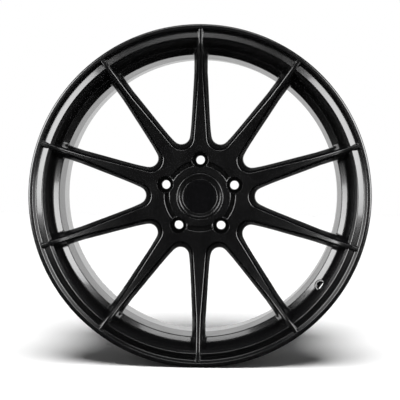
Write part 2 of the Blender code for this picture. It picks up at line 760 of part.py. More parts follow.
def assembly_bolts(steel):
    seat = bolt_seat_depth()
    tip = seat - BOLT_LENGTH
    end = seat + BOLT_HEAD_HEIGHT
    profile = [
        (0, tip),
        (BOLT_RADIUS - BOLT_CHAMFER, tip),
        (BOLT_RADIUS, tip + BOLT_CHAMFER),
        (BOLT_RADIUS, seat),
        (BOLT_HEAD_RADIUS, seat),
        (BOLT_HEAD_RADIUS, end - BOLT_CHAMFER),
        (BOLT_HEAD_RADIUS - BOLT_CHAMFER, end),
        (0, end),
    ]
    bolt = turned("assembly_bolt", profile, HARDWARE_STEPS)
    socket_outline = arc(BOLT_SOCKET_RADIUS, 0, math.tau, 6)[:-1]
    socket_floor = height(end - BOLT_SOCKET_DEPTH)
    socket = prism("socket_cutter", socket_outline, height(end + OVERSHOOT), socket_floor)
    combine(bolt, [socket])
    bolt = baked(bolt)
    bpy.data.objects.remove(socket)
    bolt.location.x = BOLT_CIRCLE_RADIUS
    bpy.context.view_layer.update()
    copies_round(bolt, "assembly_bolt", steel)


def bolt_washers(steel):
    front = bolt_seat_depth() - CLEARANCE - WASHER_THICKNESS
    bore = BOLT_RADIUS + CLEARANCE
    profile = [
        (bore, front),
        (WASHER_RADIUS, front),
        (WASHER_RADIUS, front + WASHER_THICKNESS),
        (bore, front + WASHER_THICKNESS),
    ]
    washer = turned("bolt_washer", profile, HARDWARE_STEPS)
    washer.location.x = BOLT_CIRCLE_RADIUS
    bpy.context.view_layer.update()
    copies_round(washer, "bolt_washer", steel)


# Centre cap: it pulls straight out along the axle


def cap_underside():
    return HUB_FACE_DEPTH + CAP_SEAT_DEPTH - CLEARANCE


def cap_leg_radius():
    """Outer radius of the cap's legs, free in the hub's bore."""
    return CAP_BORE_RADIUS - CLEARANCE


def cap_shell(plastic):
    """The cap's ring, plate and skirt. Slots split the skirt into sprung legs."""
    edge = CAP_SEAT_RADIUS - CLEARANCE
    ring_inner = edge - CAP_RING_WIDTH
    disc_seat = CAP_DISC_DEPTH + CAP_DISC_THICKNESS + CLEARANCE
    plate_back = disc_seat + CAP_PLATE_THICKNESS
    skirt = cap_leg_radius()
    skirt_inner = skirt - CAP_SKIRT_WALL
    skirt_end = cap_underside() + CAP_SKIRT_LENGTH
    recess = CAP_DISC_RADIUS + CLEARANCE
    profile = [
        (0, disc_seat),
        (recess, disc_seat),
        (recess, CAP_DISC_DEPTH - CAP_DISC_CHAMFER),
        (ring_inner, CAP_DISC_DEPTH - CAP_RING_CHAMFER),
        (ring_inner + CAP_RING_CHAMFER, HUB_FACE_DEPTH),
        (edge - CAP_EDGE_CHAMFER, HUB_FACE_DEPTH),
        (edge, HUB_FACE_DEPTH + CAP_EDGE_CHAMFER),
        (edge, cap_underside()),
        (skirt, cap_underside()),
        (skirt, skirt_end - CAP_SKIRT_LEAD),
        (skirt - CAP_SKIRT_CHAMFER, skirt_end),
        (skirt_inner, skirt_end),
        (skirt_inner, plate_back),
        (0, plate_back),
    ]
    obj = turned("cap_shell", profile, CAP_STEPS)
    half = CAP_SLOT_WIDTH / 2
    outer = skirt + CAP_SKIRT_WALL
    inner = skirt_inner - CAP_SKIRT_WALL
    outline = [(inner, -half), (outer, -half), (outer, half), (inner, half)]
    slot_top = height(plate_back + CAP_LEG_ROOT)
    slot = prism("cap_slot_cutter", outline, height(skirt_end + OVERSHOOT), slot_top)
    combine(obj, turned_copies(slot, even_angles(CAP_LEG_COUNT, math.pi / CAP_LEG_COUNT)))
    finish(obj, plastic)


def cap_face_disc(plastic):
    """The plain round insert in the middle of the cap."""
    top = CAP_DISC_DEPTH
    profile = [
        (0, top),
        (CAP_DISC_RADIUS - CAP_DISC_CHAMFER, top),
        (CAP_DISC_RADIUS, top + CAP_DISC_CHAMFER),
        (CAP_DISC_RADIUS, top + CAP_DISC_THICKNESS),
        (0, top + CAP_DISC_THICKNESS),
    ]
    finish(turned("cap_face_disc", profile, CAP_STEPS), plastic)


def cap_spring_ring(steel):
    """A closed wire ring inside the cap's legs, which presses them outward."""
    radius = cap_leg_radius() - CAP_SKIRT_WALL - CLEARANCE - SPRING_WIRE_RADIUS
    depth = cap_underside() + CAP_SKIRT_LENGTH - SPRING_INSET
    section = wire_section(SPRING_WIRE_RADIUS, radius, depth)
    finish(turned("cap_spring_ring", section, CAP_STEPS), steel)


paint = satin_black_paint()
zinc = zinc_plated_steel()
face_forging(paint)
inner_barrel(paint)
joint_seal_ring(seal_rubber())
assembly_bolts(zinc)
bolt_washers(zinc)
cap_shell(black_plastic())
cap_face_disc(gloss_black_plastic())
cap_spring_ring(spring_steel())
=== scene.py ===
"""The looks of a satin black forged wheel rim with ten straight spokes, stood upright on the floor.

Shapes are in millimetres about the axle: a radius, an angle that grows from +X towards +Z, and a
depth measured back from the outboard lip. The forging is one window's worth of mesh, mirrored and
repeated round the hub, with the rim's turned lip around it.
"""

import math

import bmesh
import bpy
from mathutils import Matrix, Vector


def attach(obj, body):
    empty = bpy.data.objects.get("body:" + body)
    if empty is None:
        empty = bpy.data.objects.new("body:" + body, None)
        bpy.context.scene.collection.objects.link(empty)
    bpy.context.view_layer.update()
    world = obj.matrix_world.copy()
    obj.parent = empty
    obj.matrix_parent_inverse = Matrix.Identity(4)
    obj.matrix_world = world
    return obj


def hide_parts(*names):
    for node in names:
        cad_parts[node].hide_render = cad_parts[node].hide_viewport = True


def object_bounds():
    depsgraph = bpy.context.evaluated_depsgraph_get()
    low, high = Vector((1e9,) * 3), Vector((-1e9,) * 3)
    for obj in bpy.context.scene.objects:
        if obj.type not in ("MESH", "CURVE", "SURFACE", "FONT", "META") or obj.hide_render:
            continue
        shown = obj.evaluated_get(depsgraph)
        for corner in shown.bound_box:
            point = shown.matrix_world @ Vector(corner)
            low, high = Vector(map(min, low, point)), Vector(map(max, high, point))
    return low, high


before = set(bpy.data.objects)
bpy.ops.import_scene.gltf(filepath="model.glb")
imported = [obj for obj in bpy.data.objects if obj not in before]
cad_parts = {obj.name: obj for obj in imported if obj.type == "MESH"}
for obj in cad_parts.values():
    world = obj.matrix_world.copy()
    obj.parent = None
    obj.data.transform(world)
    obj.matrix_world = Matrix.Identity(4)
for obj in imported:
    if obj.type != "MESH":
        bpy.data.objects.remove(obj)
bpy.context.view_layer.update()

MM = 0.001
HALF_WIDTH = 120.45
OUTER_RADIUS = 261.0
RIM_DEPTH = 2 * HALF_WIDTH
SPOKES = 10
HALF_PITCH = math.pi / SPOKES
FIRST_SPOKE = math.radians(90)

# Front face of the spokes and hub
HUB_DEPTH = 38.0
TIP_DEPTH = 1.0
LEVEL_AT = 246.0
LEVEL_TURN = 24.0
WINDOW_INNER = 75.7
HUB_RING = 71.5
ROOT_AT = 94.0
ROOT_HALF = 9.5
WAIST_AT = 184.0
WAIST_HALF = 3.1
TIP_AT = 215.0
TIP_HALF = 2.3
TAPER = (ROOT_HALF - WAIST_HALF) / (WAIST_AT - ROOT_AT)

# The spokes run on, inside the lip, to these radii
BURIED_FROM = 215.0
BURIED_TO = 256.0
BURIED_COVER = 4.0

# Each spoke widens by FLARE at its foot, over these reaches before the joint and below the face
FLARE = 2.2
FLARE_BEFORE_JOINT = (1.6, 0.3)
FLARE_BELOW_FACE = (16, 22)

# How a window's side is sampled, down from the face and out along a spoke
EDGE_BAND = 12.0
BACK_EDGE = 1.6
EVEN_STATIONS = 18
EVEN_STATIONS_TO = 186.0
SPINE_FADE = 14.0
BACK_LAG = 6.0
BACK_END = 219.0

# Hub
LUGS = 5
LUG_CIRCLE = 57.15
LUG_BORE = 7.0
LUG_COUNTERBORE = 12.5
LUG_SEAT_DEPTH = 49.0
LUG_SEAT_END = 58.5
MOUNT_DEPTH = 80.45
CAP_SEAT = 36.2
CENTRE_BORE = 36.55

# Face groove and rear pocket: inner radius, outer radius, and clearance round a wheel bolt
GROOVE = (48.2, 55.2, 14.6)
POCKET = (44.6, 70.0, 16.0)

# Joint between forging and barrel, with the seal and bolts that close it
JOINT_DEPTH = 46.5
JOINT_BORE = 221.5
LAND_RADIUS = 236.1
GAP = 0.3
SEAL_RADIUS = 229.4
SEAL_DEPTH = 48.3
SEAL_THICKNESS = 3.0
TAB_CIRCLE = 212.4
TAB_RADIUS = 9.4
TAB_THICKNESS = 8.0
TAB_ROOT = 225.0
WASHER_RADIUS = 8.0
WASHER_BORE = 4.3
WASHER_DEPTH = 55.1
BOLT_RADIUS = 4.0
BOLT_HEAD_RADIUS = 6.5
BOLT_SEAT_DEPTH = 57.0

# Valve hole, which leans back from the slope behind the lip
SLOPE_RADIUS = 232.5
SLOPE_DEPTH = 38.0
VALVE_BORE = 5.65
VALVE_LEAN = math.radians(38)
VALVE_ANGLE = math.radians(36)

# Centre cap
CAP_RADIUS = 35.9
CAP_LEGS = 8
LEG_OUTER = 30.2
LEG_INNER = 28.4
LEG_SLOT = 5.0
INSERT_RADIUS = 26.8
WIRE_RADIUS = 27.3
WIRE_DEPTH = 50.7
WIRE_THICKNESS = 1.6

ROUND_STEPS = 240
HOLE_STEPS = 48
CAP_STEPS = 96
SECTION_STEPS = 12
ARC_STEP = math.radians(15)


# Paths


def rounded(corners, closed=True):
    """Points of a path whose corners, each (a, b, fillet), are rounded by arcs."""
    points = []
    count = len(corners)
    for i, (a, b, fillet) in enumerate(corners):
        here = Vector((a, b))
        if fillet == 0 or (not closed and i in (0, count - 1)):
            points.append((a, b))
            continue
        before = Vector(corners[i - 1][:2]) - here
        after = Vector(corners[(i + 1) % count][:2]) - here
        inside = before.angle(after)
        reach = min(fillet / math.tan(inside / 2), 0.45 * before.length, 0.45 * after.length)
        start = here + before.normalized() * reach
        between = (before.normalized() + after.normalized()).normalized()
        middle = here + between * reach / math.cos(inside / 2)
        swing = math.pi - inside
        if before.x * after.y - before.y * after.x > 0:
            swing = -swing
        steps = max(2, math.ceil(abs(swing) / ARC_STEP))
        for step in range(steps + 1):
            arm = Matrix.Rotation(swing * step / steps, 2) @ (start - middle)
            points.append((middle.x + arm.x, middle.y + arm.y))
    return points


def along(path, first):
    """The second coordinate of a path at this first one. The path's first coordinates grow."""
    for (a, b), (c, d) in zip(path, path[1:]):
        if first <= c:
            return b + (d - b) * (first - a) / (c - a)
    return path[-1][1]


def eased(value, low, high):
    """Goes from 0 at low to 1 at high, starting and ending gently."""
    share = min(1, max(0, (value - low) / (high - low)))
    return share * share * (3 - 2 * share)


# Side of a window, as depth below the front face and distance moved out into the window
SIDE = rounded(
    [
        (0, -3, 0),
        (0, 0, 1.2),
        (4.5, 2.8, 3.0),
        (10, 4.0, 12),
        (29, 8.0, 40),
        (45.5, 9.0, 0),
        (95, 10.1, 0),
    ],
    closed=False,
)[1:]

# How much further than that the window's round hub end moves, by depth below the face
FURTHER = [(0, 0), (4.5, 0.3), (10, 0.8), (29, 2.5), (45.5, 4.0), (95, 6.2)]

# Back of the hub and spokes, as radius and depth
BACK = rounded(
    [
        (30, MOUNT_DEPTH, 0),
        (78, MOUNT_DEPTH, 8),
        (86, 77.4, 12),
        (112, 63.0, 30),
        (190, 55.0, 10),
        (200.4, JOINT_DEPTH, 4),
        (220.5, JOINT_DEPTH, 0),
        (224, JOINT_DEPTH - 0.6, 0),
        (260, JOINT_DEPTH - 0.6, 0),
    ],
    closed=False,
)

# Inner wall of the lip, as depth and radius
LIP_WALL = [
    (0, 240.4),
    (3, 240.4),
    (9, 235.9),
    (SLOPE_DEPTH, SLOPE_RADIUS),
    (JOINT_DEPTH, JOINT_BORE),
    (95, JOINT_BORE),
]


def face_depth(radius):
    """Depth of the concave front face: flat at the hub, and turning level at the lip."""
    turn = LEVEL_AT - LEVEL_TURN
    bend = (HUB_DEPTH - TIP_DEPTH) / ((turn - WINDOW_INNER) * (LEVEL_AT - WINDOW_INNER))
    if radius <= WINDOW_INNER:
        return HUB_DEPTH
    if radius <= turn:
        return HUB_DEPTH - bend * (radius - WINDOW_INNER) ** 2
    if radius <= LEVEL_AT:
        return TIP_DEPTH + bend * (turn - WINDOW_INNER) / LEVEL_TURN * (LEVEL_AT - radius) ** 2
    return TIP_DEPTH


# Mesh building


def wheel_point(radius, angle, depth, centre=(0, 0)):
    x = centre[0] + radius * math.cos(angle)
    z = centre[1] + radius * math.sin(angle)
    return Vector((x, depth - HALF_WIDTH, z)) * MM


def bridge(shape, first, second):
    """Faces between two closed rows of vertices. A row of one vertex is a point on the axle."""
    count = max(len(first), len(second))
    for i in range(count):
        j = (i + 1) % count
        if len(first) == 1:
            shape.faces.new((first[0], second[j], second[i]))
        elif len(second) == 1:
            shape.faces.new((first[i], first[j], second[0]))
        else:
            shape.faces.new((first[i], first[j], second[j], second[i]))


def turn_path(shape, path, steps, centre=(0, 0)):
    """Turns (radius, depth) points into a closed skin. A radius may be a function of the angle."""
    rows = []
    for radius, depth in path:
        if radius == 0:
            rows.append([shape.verts.new(wheel_point(0, 0, depth, centre))])
            continue
        row = []
        for i in range(steps):
            angle = math.tau * i / steps
            reach = radius(angle) if callable(radius) else radius
            row.append(shape.verts.new(wheel_point(reach, angle, depth, centre)))
        rows.append(row)
    for first, second in zip(rows, rows[1:]):
        bridge(shape, first, second)
    if path[0][0] != 0:
        bridge(shape, rows[-1], rows[0])


def skin_rings(shape, rings):
    """A closed skin through rings of points, capped at both ends."""
    rows = [[shape.verts.new(point) for point in ring] for ring in rings]
    for first, second in zip(rows, rows[1:]):
        bridge(shape, first, second)
    shape.faces.new(rows[0])
    shape.faces.new(rows[-1])


def as_object(name, shape):
    """The finished skin as an object, facing out."""
    bmesh.ops.recalc_face_normals(shape, faces=shape.faces)
    mesh = bpy.data.meshes.new(name)
    shape.to_mesh(mesh)
    shape.free()
    piece = bpy.data.objects.new(name, mesh)
    bpy.context.scene.collection.objects.link(piece)
    return piece


def cut(piece, cutter):
    """Takes the cutter's shape out of the piece for good."""
    boolean = piece.modifiers.new("cut", "BOOLEAN")
    boolean.operation = "DIFFERENCE"
    boolean.solver = "EXACT"
    boolean.object = cutter
    bpy.context.view_layer.update()
    graph = bpy.context.evaluated_depsgraph_get()
    mesh = bpy.data.meshes.new_from_object(piece.evaluated_get(graph))
    piece.modifiers.remove(boolean)
    piece.data = mesh
    bpy.data.objects.remove(cutter)


def shade(piece, sharp=32):
    """Smooth shading up to this angle between faces, kept even across the flat parts."""
    piece.data.shade_smooth()
    piece.data.set_sharp_from_angle(angle=math.radians(sharp))
    even = piece.modifiers.new("even_shading", "WEIGHTED_NORMAL")
    even.keep_sharp = True
    even.weight = 70


def fit(piece, material, slot, body, *nodes):
    """Gives the piece its material and puts it in the place of its CAD nodes."""
    shade(piece)
    piece.data.materials.clear()
    piece.data.materials.append(material)
    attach(piece, body)
    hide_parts(*nodes)


# The forging: hub and spokes


def spoke_side(radius, moved):
    """A point of a spoke's side, in a flat frame whose X axis runs along the window's middle."""
    if radius < WAIST_AT:
        half = WAIST_HALF + TAPER * (WAIST_AT - radius)
    else:
        half = WAIST_HALF - (WAIST_HALF - TIP_HALF) * min(1, (radius - WAIST_AT) / (TIP_AT - WAIST_AT))
    side = half + moved
    run = math.sqrt(radius**2 - side**2)
    cosine = math.cos(HALF_PITCH)
    sine = math.sin(HALF_PITCH)
    return run * cosine + side * sine, run * sine - side * cosine


def hub_end(share, moved, further):
    """A point of the window's round hub end: share 0 is its middle, and 1 meets the spoke."""
    lean = math.atan(TAPER)
    from_axle = (ROOT_HALF + TAPER * ROOT_AT) * math.cos(lean)
    opening = HALF_PITCH + lean
    centre = (WINDOW_INNER + further - from_axle) / (1 - math.sin(opening))
    radius = centre * math.sin(opening) - from_axle - moved
    angle = math.pi + (opening - math.pi / 2) * share
    return centre + radius * math.cos(angle), radius * math.sin(angle)


def buried_radius(radius, depth):
    """Pulls the far end of a spoke in, so that it stays inside the lip at every depth."""
    if radius <= BURIED_FROM:
        return radius
    deep = along(LIP_WALL, depth) + BURIED_COVER
    reach = BURIED_TO + (deep - BURIED_TO) * eased(depth, 7, 10)
    return BURIED_FROM + (radius - BURIED_FROM) * (reach - BURIED_FROM) / (BURIED_TO - BURIED_FROM)


def window_stations(hub_steps):
    """Where the window's edge is sampled: shares of its hub end, then radii out along a spoke."""
    start = math.hypot(*hub_end(1, 0, 0))
    run = EVEN_STATIONS_TO - start
    radii = [start + run * i / EVEN_STATIONS for i in range(1, EVEN_STATIONS + 1)]
    radii += list(range(190, 219, 4)) + list(range(221, 243, 3)) + [246, 250, BURIED_TO]
    return [(True, i / hub_steps) for i in range(hub_steps + 1)] + [(False, radius) for radius in radii]


def spine_points(stations, hub_steps):
    """For each station, the point that the faces reach to: on the hub's ring, then mid-spoke."""
    spine = []
    start = math.hypot(*hub_end(1, 0, 0))
    for at_hub, value in stations:
        if at_hub:
            angle = HALF_PITCH * value
            spine.append((HUB_RING * math.cos(angle), HUB_RING * math.sin(angle)))
            continue
        lag = (start - HUB_RING) * math.exp(-(value - start) / SPINE_FADE)
        radius = value - lag
        spine.append((radius * math.cos(HALF_PITCH), radius * math.sin(HALF_PITCH)))
    return spine


def wall_levels(height):
    """(depth below the face, moved out) down a window's side, with a rounded foot at the back."""
    levels = [level for level in SIDE if level[0] <= EDGE_BAND]
    first = levels[-1][0]
    last = height - BACK_EDGE
    for i in range(1, 7):
        below = first + (last - first) * i / 6
        levels.append((below, along(SIDE, below)))
    out = along(SIDE, last)
    for i in range(1, 5):
        angle = math.pi / 2 * i / 4
        levels.append((last + BACK_EDGE * math.sin(angle), out - BACK_EDGE * (1 - math.cos(angle))))
    return levels


def station_column(station, spine, face_steps=4, back_steps=3):
    """Points down one station: over the front face, down the window's side, over the back."""
    at_hub, value = station
    reference = math.hypot(*hub_end(value, 0, 0)) if at_hub else value
    top = face_depth(reference)
    height = along(BACK, min(reference + BACK_LAG, BACK_END)) - top
    wall = []
    for below, moved in wall_levels(height):
        depth = top + below
        if at_hub:
            x, y = hub_end(value, moved, along(FURTHER, below))
        else:
            radius = buried_radius(value, depth)
            rise, full = (JOINT_BORE - before for before in FLARE_BEFORE_JOINT)
            flare = FLARE * eased(radius, rise, full) * eased(below, *FLARE_BELOW_FACE)
            x, y = spoke_side(radius, moved + flare)
        wall.append((x, y, depth))
    edge = wall[0]
    column = []
    for i in range(face_steps):
        x, y = (spine[k] + (edge[k] - spine[k]) * i / face_steps for k in range(2))
        column.append((x, y, face_depth(math.hypot(x, y))))
    column += wall
    foot = wall[-1]
    far = buried_radius(math.hypot(*spine), foot[2]) / math.hypot(*spine)
    for i in range(1, back_steps + 1):
        x, y = (foot[k] + (spine[k] * far - foot[k]) * i / back_steps for k in range(2))
        column.append((x, y, along(BACK, math.hypot(x, y))))
    return column


def hub_bore_path():
    """From the front hub ring, down the cap's seat and the centre bore, to the back hub ring."""
    return rounded(
        [
            (HUB_RING, HUB_DEPTH, 0),
            (CAP_SEAT, HUB_DEPTH, 0.7),
            (CAP_SEAT, 42.0, 0.4),
            (30.5, 42.0, 0.5),
            (30.5, 56.0, 0.3),
            (CENTRE_BORE, 56.0, 0.3),
            (CENTRE_BORE, MOUNT_DEPTH, 1.0),
            (HUB_RING, MOUNT_DEPTH, 0),
        ],
        closed=False,
    )


def half_window_grids(hub_steps=10):
    """Two grids of flat-frame points: hub pad and bore, and the spokes with their window walls."""
    stations = window_stations(hub_steps)
    spines = spine_points(stations, hub_steps)
    spokes = [station_column(station, spine) for station, spine in zip(stations, spines)]
    hub = []
    for i in range(hub_steps + 1):
        angle = HALF_PITCH * i / hub_steps
        hub.append([(r * math.cos(angle), r * math.sin(angle), d) for r, d in hub_bore_path()])
    return hub, spokes


def spider(name):
    """Hub and spokes in one skin, made of half windows mirrored and repeated round the axle."""
    shape = bmesh.new()
    grids = half_window_grids()
    for window in range(SPOKES):
        turn = FIRST_SPOKE + HALF_PITCH + math.tau * window / SPOKES
        for side in (1, -1):
            for grid in grids:
                rows = []
                for column in grid:
                    row = []
                    for x, y, depth in column:
                        radius = math.hypot(x, y)
                        angle = turn + side * math.atan2(y, x)
                        row.append(shape.verts.new(wheel_point(radius, angle, depth)))
                    rows.append(row)
                for first, second in zip(rows, rows[1:]):
                    for i in range(len(first) - 1):
                        shape.faces.new((first[i], second[i], second[i + 1], first[i + 1]))
    bmesh.ops.remove_doubles(shape, verts=shape.verts, dist=2e-6)
    open_edges = [edge for edge in shape.edges if edge.is_boundary]
    bmesh.ops.holes_fill(shape, edges=open_edges, sides=0)
    return as_object(name, shape)


def ring_sector(inner, outer, boss, grown, angle, depth):
    """Outline of a pocket between two wheel bolts, grown by this much, its ends curved round them."""
    inner -= grown
    outer += grown
    boss -= grown

    def half_angle(radius):
        cosine = (radius**2 + LUG_CIRCLE**2 - boss**2) / (2 * radius * LUG_CIRCLE)
        return math.pi / LUGS - math.acos(min(1, cosine))

    ends = [inner + (outer - inner) * i / 8 for i in range(9)]
    outline = []
    for i in range(24):
        outline.append((inner, half_angle(inner) * (2 * i / 24 - 1)))
    outline += [(radius, half_angle(radius)) for radius in ends[:-1]]
    for i in range(24):
        outline.append((outer, half_angle(outer) * (1 - 2 * i / 24)))
    outline += [(radius, -half_angle(radius)) for radius in ends[:0:-1]]
    return [wheel_point(radius, angle + swing, depth) for radius, swing in outline]


# Where the hub's cutters start and end, clear of it
IN_FRONT = 30.0
BEHIND = 90.0


def hub_cutters():
    """Everything cut into the hub: counterbored bolt holes, the face groove and rear pockets."""
    shape = bmesh.new()
    bolt_hole = [
        (0, IN_FRONT),
        (LUG_COUNTERBORE + 0.7, IN_FRONT),
        (LUG_COUNTERBORE + 0.7, HUB_DEPTH),
        (LUG_COUNTERBORE + 0.35, HUB_DEPTH + 0.12),
        (LUG_COUNTERBORE + 0.1, HUB_DEPTH + 0.45),
        (LUG_COUNTERBORE, HUB_DEPTH + 1.0),
        (LUG_COUNTERBORE, LUG_SEAT_DEPTH),
        (LUG_BORE, LUG_SEAT_END),
        (LUG_BORE, MOUNT_DEPTH - 0.5),
        (LUG_BORE + 0.5, MOUNT_DEPTH),
        (LUG_BORE + 0.5, BEHIND),
        (0, BEHIND),
    ]
    # Depth and growth of each outline, from the surface down to the floor
    groove = [
        (IN_FRONT, 1.1),
        (HUB_DEPTH, 1.1),
        (HUB_DEPTH + 0.2, 0.5),
        (HUB_DEPTH + 0.6, 0.15),
        (HUB_DEPTH + 1.2, 0),
        (43.0, 0),
        (44.0, -1.0),
    ]
    pocket = [
        (BEHIND, 0.7),
        (MOUNT_DEPTH, 0.7),
        (MOUNT_DEPTH - 0.8, 0),
        (68.6, -0.6),
        (66.9, -1.4),
        (66.4, -3),
    ]
    for i in range(LUGS):
        angle = FIRST_SPOKE + math.tau * i / LUGS
        centre = (LUG_CIRCLE * math.cos(angle), LUG_CIRCLE * math.sin(angle))
        turn_path(shape, bolt_hole, HOLE_STEPS, centre)
        between = angle + math.pi / LUGS
        for outline, levels in ((GROOVE, groove), (POCKET, pocket)):
            skin_rings(shape, [ring_sector(*outline, grown, between, depth) for depth, grown in levels])
    return as_object("hub_cutters", shape)


# The forging: lip and bead seat


def lip_ring(name):
    """The rim's front: flange, bead seat and hump outside; stepped lip and slope inside."""
    shape = bmesh.new()
    corners = [
        # Flange
        (254.3, 0, 1.4),
        (OUTER_RADIUS, 0, 4.2),
        (OUTER_RADIUS, 12.5, 4.4),
        # Bead seat and hump
        (243.7, 12.5, 6.4),
        (242.0, 32.5, 3),
        (242.9, 36.5, 2),
        (240.9, 40.5, 2),
        # Land that the barrel meets
        (LAND_RADIUS, 43.5, 2),
        (LAND_RADIUS, JOINT_DEPTH, 0.4),
        (JOINT_BORE, JOINT_DEPTH, 0.5),
        # Slope, inner wall and groove of the lip
        (SLOPE_RADIUS, SLOPE_DEPTH, 12),
        (235.9, 9, 3),
        (240.4, 3, 1.6),
        (250.5, 6, 1.6),
    ]
    turn_path(shape, rounded(corners), ROUND_STEPS)
    return as_object(name, shape)


def valve_cutter():
    """The valve hole's cutter, with a flat seat sunk round the hole."""
    shape = bmesh.new()
    path = [
        (0, -30),
        (8.8, -30),
        (8.8, 0.2),
        (8.0, 1.4),
        (6.8, 1.4),
        (VALVE_BORE, 2.4),
        (VALVE_BORE, 30),
        (0, 30),
    ]
    turn_path(shape, path, HOLE_STEPS)
    cutter = as_object("valve_cutter", shape)
    to_middle = Matrix.Translation((0, HALF_WIDTH * MM, 0))
    place = Matrix.Translation(wheel_point(SLOPE_RADIUS, 0, SLOPE_DEPTH))
    lean = Matrix.Rotation(-VALVE_LEAN, 4, "Z")
    turn = Matrix.Rotation(VALVE_ANGLE, 4, "Y")
    cutter.data.transform(turn @ place @ lean @ to_middle)
    return cutter


def face_forging():
    """Spokes and lip in one piece, cut first and joined after."""
    hub = spider("forged_face")
    cut(hub, hub_cutters())
    lip = lip_ring("forged_lip")
    cut(lip, valve_cutter())
    joined = bmesh.new()
    joined.from_mesh(hub.data)
    joined.from_mesh(lip.data)
    joined.to_mesh(hub.data)
    joined.free()
    bpy.data.objects.remove(lip)
    return hub


# The inner barrel


def tab_rings(angle):
    """Outlines of a tab at each depth: a round-ended plate with softened edges."""
    centre = (TAB_CIRCLE * math.cos(angle), TAB_CIRCLE * math.sin(angle))
    front = JOINT_DEPTH + GAP
    back = front + TAB_THICKNESS
    rings = []
    for depth, inset in ((front, 0.5), (front + 0.5, 0), (back - 0.8, 0), (back, 0.8)):
        radius = TAB_RADIUS - inset
        ring = [
            wheel_point(radius, angle + math.radians(90 + 180 * i / 16), depth, centre) for i in range(17)
        ]
        for side in (-1, 1):
            ring.append(wheel_point(TAB_ROOT, angle + side * radius / TAB_ROOT, depth))
        rings.append(ring)
    return rings


def inner_barrel(name):
    """The barrel, from the joint back to the inboard flange, with a tab behind each spoke."""
    shape = bmesh.new()
    corners = [
        # Land that the forging meets
        (JOINT_BORE, JOINT_DEPTH + GAP, 0.7),
        (LAND_RADIUS, JOINT_DEPTH + GAP, 0.4),
        (LAND_RADIUS, 54.8, 3),
        # Drop well and the long slope behind it
        (226.8, 62.8, 5),
        (226.8, 95, 30),
        # Hump, bead seat and flange
        (240.9, 200.4, 6),
        (242.9, 204.4, 2),
        (242.0, 208.4, 3),
        (243.7, 228.4, 6.4),
        (OUTER_RADIUS, 228.4, 4.4),
        (OUTER_RADIUS, RIM_DEPTH, 4.2),
        # Inner wall
        (240.2, RIM_DEPTH, 4.0),
        (236.0, 208.4, 30),
        (JOINT_BORE, 95, 40),
    ]
    turn_path(shape, rounded(corners), ROUND_STEPS)
    for i in range(SPOKES):
        skin_rings(shape, tab_rings(FIRST_SPOKE + math.tau * i / SPOKES))
    return as_object(name, shape)


def round_section(radius, depth, thickness):
    """Points round the cross-section of a ring that is bent from round cord or wire."""
    points = []
    for i in range(SECTION_STEPS):
        angle = math.tau * i / SECTION_STEPS
        points.append((radius + thickness / 2 * math.cos(angle), depth + thickness / 2 * math.sin(angle)))
    return points


def joint_seal(name):
    shape = bmesh.new()
    turn_path(shape, round_section(SEAL_RADIUS, SEAL_DEPTH, SEAL_THICKNESS), ROUND_STEPS)
    return as_object(name, shape)


# Hardware


def hexagon(half_flats):
    """Radius of a hexagon at an angle, from half its width across the flats."""

    def radius(angle):
        return half_flats / math.cos(angle % math.radians(60) - math.radians(30))

    return radius


def socket_bolt(name):
    """A socket head screw, from its tip forward of the joint to the hexagon socket in its head."""
    seat = BOLT_SEAT_DEPTH
    shape = bmesh.new()
    head = rounded(
        [
            (BOLT_RADIUS, seat - 2, 0),
            (BOLT_RADIUS, seat, 0.3),
            (BOLT_HEAD_RADIUS, seat, 0.3),
            (BOLT_HEAD_RADIUS, seat + 8, 0.7),
            (3.9, seat + 8, 0),
        ],
        closed=False,
    )
    tip = [(0, seat - 24), (BOLT_RADIUS - 0.6, seat - 24), (BOLT_RADIUS, seat - 23.4)]
    socket = [(hexagon(3.05), seat + 7.6), (hexagon(3.0), seat + 4.1), (0, seat + 2.9)]
    turn_path(shape, tip + head + socket, HOLE_STEPS, (TAB_CIRCLE, 0))
    return as_object(name, shape)


def washer(name):
    shape = bmesh.new()
    back = BOLT_SEAT_DEPTH - GAP
    corners = [
        (WASHER_BORE, WASHER_DEPTH, 0.15),
        (WASHER_RADIUS, WASHER_DEPTH, 0.25),
        (WASHER_RADIUS, back, 0.4),
        (WASHER_BORE, back, 0.15),
    ]
    turn_path(shape, rounded(corners), HOLE_STEPS, (TAB_CIRCLE, 0))
    return as_object(name, shape)


def copies_round(piece, material, slot, name, node):
    """Copies of a piece, made at angle zero, one behind each spoke."""
    mesh = piece.data
    bpy.data.objects.remove(piece)
    for i in range(SPOKES):
        copy = bpy.data.objects.new(f"{name}_{i + 1:02d}", mesh)
        bpy.context.scene.collection.objects.link(copy)
        copy.matrix_world = Matrix.Rotation(-(FIRST_SPOKE + math.tau * i / SPOKES), 4, "Y")
        fit(copy, material, slot, "wheel", f"{node}_{i + 1:02d}")


# Centre cap


